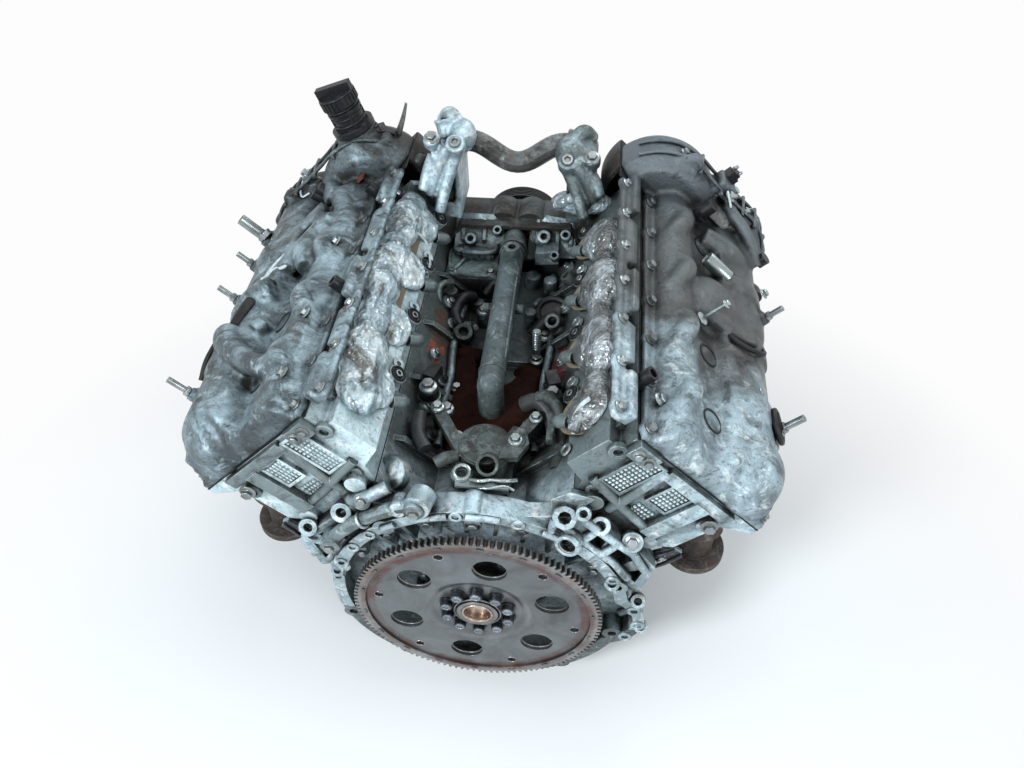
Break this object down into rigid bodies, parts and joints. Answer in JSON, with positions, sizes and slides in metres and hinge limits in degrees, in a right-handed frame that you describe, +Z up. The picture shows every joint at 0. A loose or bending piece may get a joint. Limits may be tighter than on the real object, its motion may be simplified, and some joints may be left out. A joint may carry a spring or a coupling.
{
  "type": "car engine",
  "caption": "V-type car engine long block with overhead-cam heads, valve covers, oil pan, exhaust manifolds, flexplate with toothed ring gear and taped intake ports.",
  "frame": {"origin": "crankshaft axis in the plane of the bell-housing face", "axes": "+X right seen from the flexplate end, +Y towards the crank pulley, +Z up"},
  "size_m": [0.7817, 0.651, 0.6566],
  "materials": {
    "block": "rough casting, oily",
    "head_left": "rough casting",
    "head_right": "rough casting",
    "cover_left": "rough casting, stained",
    "cover_right": "rough casting",
    "timing_cover": "rough casting, oily",
    "upper_pan": "rough casting, oily",
    "lower_pan": "pressed sheet, worn paint",
    "coolant_castings": "rough casting",
    "valley_pipe": "dull grey",
    "crossover": "dull, dusty",
    "valley_plate": "dull grey-green",
    "crank_steel": "machined",
    "hub_spacer": "brown with heat and oil",
    "flexplate": "dark, stained",
    "ring_gear": "lightly rusted teeth",
    "dark_bolts": "blackened",
    "bright_bolts": "zinc plated",
    "bearings": "plain shell",
    "inner_aluminium": "machined",
    "bearing_caps": "cast",
    "manifolds": "rust brown",
    "pulleys": "satin black",
    "gaskets": "black",
    "intake_gaskets": "tan",
    "port_masks_left": "crumpled film and foil",
    "port_masks_right": "crumpled foil",
    "black_plastic": "black, dusty"
  },
  "bodies": {
    "engine": {"cylinder_block": "block", "main_bearing_caps": "bearing_caps", "main_bearings": "bearings", "rear_seal_retainer": "upper_pan", "pistons": "inner_aluminium", "upper_oil_pan": "upper_pan", "lower_oil_pan": "lower_pan", "drain_plug": "dark_bolts", "pan_bolts": "bright_bolts", "timing_cover": "timing_cover", "timing_cover_bolts": "bright_bolts", "water_pump": "timing_cover", "left_cylinder_head": "head_left", "right_cylinder_head": "head_right", "left_head_gasket": "gaskets", "right_head_gasket": "gaskets", "left_valve_cover": "cover_left", "right_valve_cover": "cover_right", "left_cover_gasket": "gaskets", "right_cover_gasket": "gaskets", "cover_bolts": "bright_bolts", "plug_tubes": "black_plastic", "cover_studs": "bright_bolts", "breather_pipe": "coolant_castings", "left_cam_caps": "inner_aluminium", "right_cam_caps": "inner_aluminium", "left_port_masks": "port_masks_left", "right_port_masks": "port_masks_right", "left_intake_gasket": "intake_gaskets", "right_intake_gasket": "intake_gaskets", "left_exhaust_manifold": "manifolds", "right_exhaust_manifold": "manifolds", "left_coolant_outlet": "coolant_castings", "right_coolant_outlet": "coolant_castings", "crossover_pipe": "crossover", "valley_pipe": "valley_pipe", "rear_coolant_housing": "coolant_castings", "lifting_eye": "coolant_castings", "valley_brackets": "coolant_castings", "knock_sensors": "black_plastic", "valley_plate": "valley_plate", "oil_filler_neck": "black_plastic", "cam_sensors": "black_plastic", "stub_tubes": "black_plastic", "rear_plates": "block", "mount_brackets": "upper_pan"},
    "crank": {"crankshaft": "crank_steel", "hub_spacer": "hub_spacer", "flexplate": "flexplate", "ring_gear": "ring_gear", "flexplate_bolts": "dark_bolts", "crank_sprocket": "crank_steel", "crank_pulley": "pulleys", "pulley_bolt": "dark_bolts"},
    "left_intake_cam": {"left_intake_camshaft": "crank_steel"},
    "left_exhaust_cam": {"left_exhaust_camshaft": "crank_steel"},
    "right_intake_cam": {"right_intake_camshaft": "crank_steel"},
    "right_exhaust_cam": {"right_exhaust_camshaft": "crank_steel"},
    "pump": {"pump_pulley": "pulleys"},
    "filler_cap": {"oil_filler_cap": "black_plastic"}
  },
  "joints": [
    {"name": "crank_spin", "type": "hinge", "parent": "engine", "child": "crank", "pos_m": [0, 0, 0], "axis": [0, 1, 0], "continuous": true},
    {"name": "left_intake_cam_spin", "type": "hinge", "parent": "engine", "child": "left_intake_cam", "pos_m": [-0.21355, 0.25, 0.2786], "axis": [0, 1, 0], "continuous": true},
    {"name": "left_exhaust_cam_spin", "type": "hinge", "parent": "engine", "child": "left_exhaust_cam", "pos_m": [-0.28708, 0.25, 0.20506], "axis": [0, 1, 0], "continuous": true},
    {"name": "right_intake_cam_spin", "type": "hinge", "parent": "engine", "child": "right_intake_cam", "pos_m": [0.21355, 0.25, 0.2786], "axis": [0, 1, 0], "continuous": true},
    {"name": "right_exhaust_cam_spin", "type": "hinge", "parent": "engine", "child": "right_exhaust_cam", "pos_m": [0.28708, 0.25, 0.20506], "axis": [0, 1, 0], "continuous": true},
    {"name": "pump_spin", "type": "hinge", "parent": "engine", "child": "pump", "pos_m": [0, 0.568, 0.15], "axis": [0, 1, 0], "continuous": true},
    {"name": "filler_cap_turn", "type": "hinge", "parent": "engine", "child": "filler_cap", "pos_m": [-0.24704, 0.52625, 0.41019], "axis": [-0.342, 0, 0.9397], "range_deg": [0, 90]}
  ],
  "couplings": [
    {"joint": "left_intake_cam_spin", "follows": "crank_spin", "ratio": 0.5},
    {"joint": "left_exhaust_cam_spin", "follows": "crank_spin", "ratio": 0.5},
    {"joint": "right_intake_cam_spin", "follows": "crank_spin", "ratio": 0.5},
    {"joint": "right_exhaust_cam_spin", "follows": "crank_spin", "ratio": 0.5}
  ]
}
